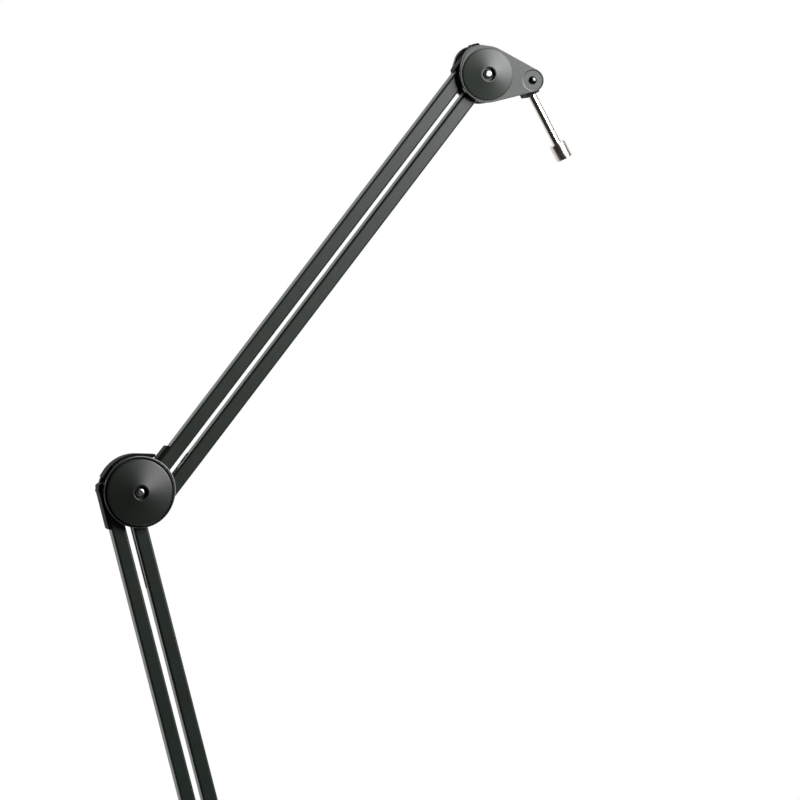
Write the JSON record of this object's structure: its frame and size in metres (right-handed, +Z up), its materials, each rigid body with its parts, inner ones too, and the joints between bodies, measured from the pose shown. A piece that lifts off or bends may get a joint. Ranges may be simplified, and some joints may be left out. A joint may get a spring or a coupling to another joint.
{
  "type": "microphone boom arm",
  "caption": "Spring-balanced desk boom arm: paired box channels form two parallelogram sections with round conical elbow covers, a teardrop head and a swivelling rod with a tapped end for a microphone.",
  "frame": {"origin": "on the spigot's axis, in the plane of the desk flange's underside", "axes": "+Z up along the spigot, +X to the side that the arm reaches to, -Y to the front"},
  "size_m": [0.3496, 0.084, 0.7781],
  "materials": {
    "flange_paint": "satin black",
    "nylon": "black nylon",
    "plate_paint": "satin dark grey anodised",
    "cover_paint": "satin black anodised, turned",
    "black_steel": "blackened",
    "steel": "bright",
    "channel_paint": "satin dark grey",
    "cap_plastic": "black moulded",
    "spring_steel": "drawn wire",
    "chrome": "polished"
  },
  "bodies": {
    "desk_mount": {"mount_flange": "flange_paint", "spigot_bush": "nylon"},
    "base": {"spigot": "flange_paint", "base_plate_front": "plate_paint", "base_plate_back": "plate_paint", "base_cover_front": "cover_paint", "base_cover_back": "cover_paint", "base_cover_screws": "black_steel", "base_pins": "steel", "base_rivets": "steel", "base_drum": "steel"},
    "lower_outer": {"lower_outer_channel": "channel_paint", "lower_outer_bushes": "nylon", "lower_outer_cap_base": "cap_plastic", "lower_outer_cap_elbow": "cap_plastic"},
    "lower_inner": {"lower_inner_channel": "channel_paint", "lower_inner_bush": "nylon", "lower_inner_strip": "cap_plastic", "lower_spring": "spring_steel", "lower_spring_anchor": "steel", "lower_spring_yoke": "steel"},
    "elbow": {"elbow_plate_front": "plate_paint", "elbow_plate_back": "plate_paint", "elbow_cover_front": "cover_paint", "elbow_cover_back": "cover_paint", "elbow_cover_screws": "black_steel", "elbow_pins": "steel", "elbow_guard": "plate_paint", "elbow_rivets": "steel", "elbow_drum": "steel"},
    "upper_outer": {"upper_outer_channel": "channel_paint", "upper_outer_bushes": "nylon", "upper_outer_cap_elbow": "cap_plastic", "upper_outer_cap_head": "cap_plastic"},
    "upper_inner": {"upper_inner_channel": "channel_paint", "upper_inner_bush": "nylon", "upper_inner_strip": "cap_plastic", "upper_spring": "spring_steel", "upper_spring_anchor": "steel", "upper_spring_yoke": "steel"},
    "head": {"head_plate_front": "plate_paint", "head_plate_back": "plate_paint", "head_cover_front": "cover_paint", "head_cover_back": "cover_paint", "head_cover_screws": "black_steel", "head_pins": "steel", "head_spacer": "steel", "swivel_washers": "cover_paint", "swivel_bolt": "black_steel", "swivel_nut": "black_steel"},
    "mic_end": {"swivel_block": "plate_paint", "mic_rod": "chrome", "mic_sleeve": "chrome"}
  },
  "joints": [
    {"name": "base_swivel", "type": "hinge", "parent": "desk_mount", "child": "base", "pos_m": [0, 0, 0.0816], "axis": [0, 0, 1], "continuous": true},
    {"name": "lower_arm_tilt", "type": "hinge", "parent": "base", "child": "lower_inner", "pos_m": [0.00854, 0, 0.07946], "axis": [0, 1, 0], "range_deg": [-10, 70]},
    {"name": "lower_outer_follow", "type": "hinge", "parent": "base", "child": "lower_outer", "pos_m": [-0.00854, 0, 0.08374], "axis": [0, 1, 0], "range_deg": [-11, 71]},
    {"name": "elbow_level", "type": "hinge", "parent": "lower_inner", "child": "elbow", "pos_m": [-0.08957, 0, 0.45692], "axis": [0, 1, 0], "range_deg": [-71, 11]},
    {"name": "upper_arm_tilt", "type": "hinge", "parent": "elbow", "child": "upper_inner", "pos_m": [-0.07095, 0, 0.44781], "axis": [0, 1, 0], "range_deg": [-5, 85]},
    {"name": "upper_outer_follow", "type": "hinge", "parent": "elbow", "child": "upper_outer", "pos_m": [-0.07625, 0, 0.46459], "axis": [0, 1, 0], "range_deg": [-6, 86]},
    {"name": "head_level", "type": "hinge", "parent": "upper_inner", "child": "head", "pos_m": [0.17044, 0, 0.75412], "axis": [0, 1, 0], "range_deg": [-86, 6]},
    {"name": "mic_swivel", "type": "hinge", "parent": "head", "child": "mic_end", "pos_m": [0.20304, 0, 0.75128], "axis": [0, 1, 0], "range_deg": [-85, 40]}
  ],
  "couplings": [
    {"joint": "lower_outer_follow", "follows": "lower_arm_tilt", "ratio": 1},
    {"joint": "elbow_level", "follows": "lower_arm_tilt", "ratio": -1},
    {"joint": "upper_outer_follow", "follows": "upper_arm_tilt", "ratio": 1},
    {"joint": "head_level", "follows": "upper_arm_tilt", "ratio": -1}
  ]
}
